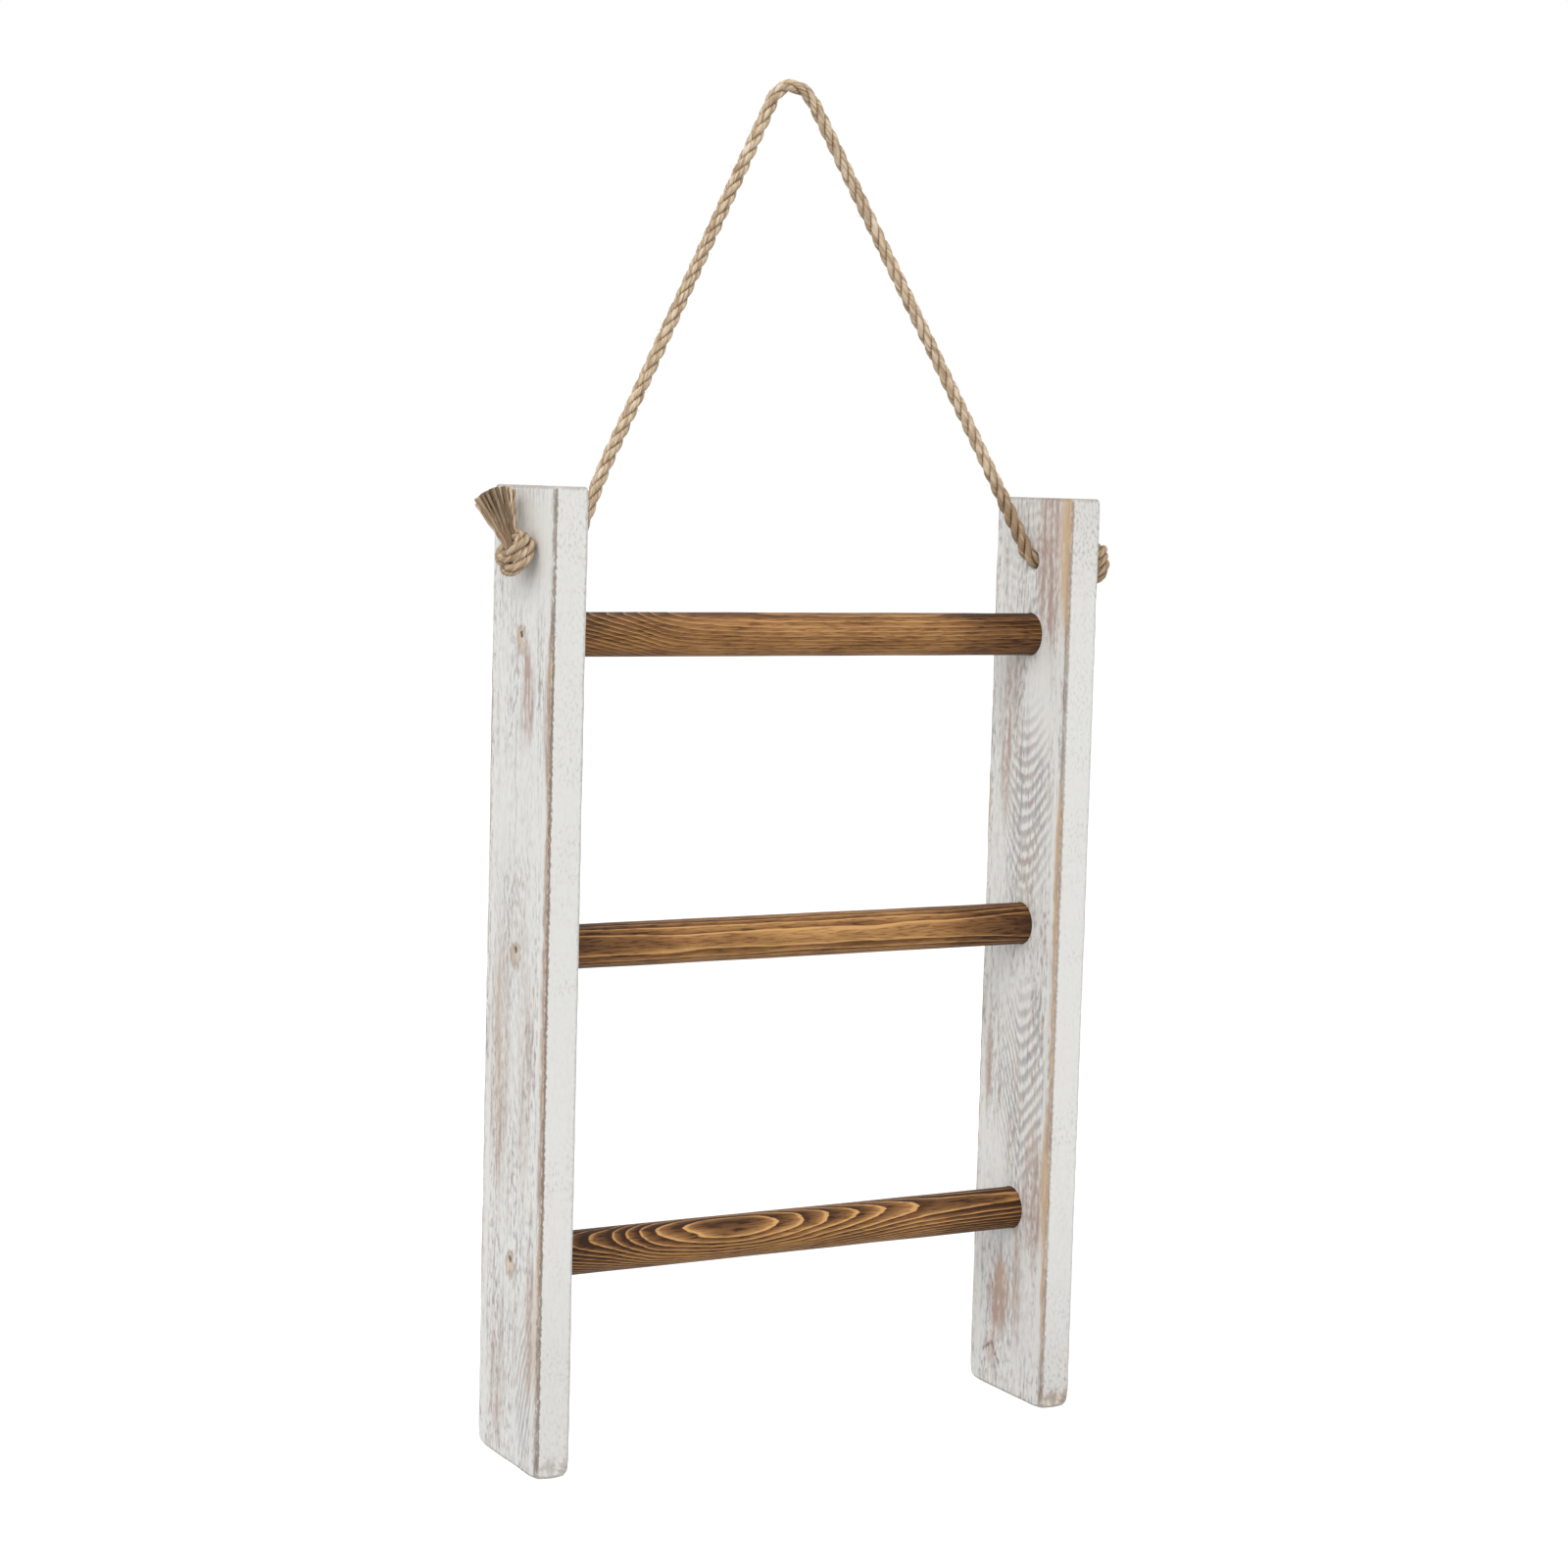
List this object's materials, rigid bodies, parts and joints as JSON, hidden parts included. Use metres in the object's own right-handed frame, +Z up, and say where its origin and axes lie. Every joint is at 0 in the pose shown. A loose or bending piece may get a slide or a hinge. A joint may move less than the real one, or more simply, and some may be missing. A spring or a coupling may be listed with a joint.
{
  "type": "hanging towel ladder",
  "caption": "Small wall-hung towel ladder: whitewashed flat rails, dark round rungs, and a knotted rope that hangs it from a hook.",
  "frame": {"origin": "hang point: centre of the bend that the rope makes over its hook", "axes": "+Z up along the rails, +X along the rungs to the right, +Y from the front towards the wall"},
  "size_m": [0.3208, 0.0635, 0.6181],
  "materials": {
    "whitewashed_wood": "whitewashed, distressed, matte",
    "dark_stained_wood": "torched and stained, satin",
    "nail_steel": "dull wire nail",
    "jute_rope": "laid natural jute"
  },
  "bodies": {
    "rope": {"hanging_rope": "jute_rope", "left_knot": "jute_rope", "right_knot": "jute_rope"},
    "ladder": {"left_rail": "whitewashed_wood", "right_rail": "whitewashed_wood", "top_rung": "dark_stained_wood", "middle_rung": "dark_stained_wood", "bottom_rung": "dark_stained_wood", "left_top_nail": "nail_steel", "left_middle_nail": "nail_steel", "left_bottom_nail": "nail_steel", "right_top_nail": "nail_steel", "right_middle_nail": "nail_steel", "right_bottom_nail": "nail_steel"}
  },
  "joints": [
    {"name": "ladder_swing", "type": "hinge", "parent": "rope", "child": "ladder", "pos_m": [0, -0.023, -0.201], "axis": [-1, 0, 0], "range_deg": [-145, 160]}
  ]
}
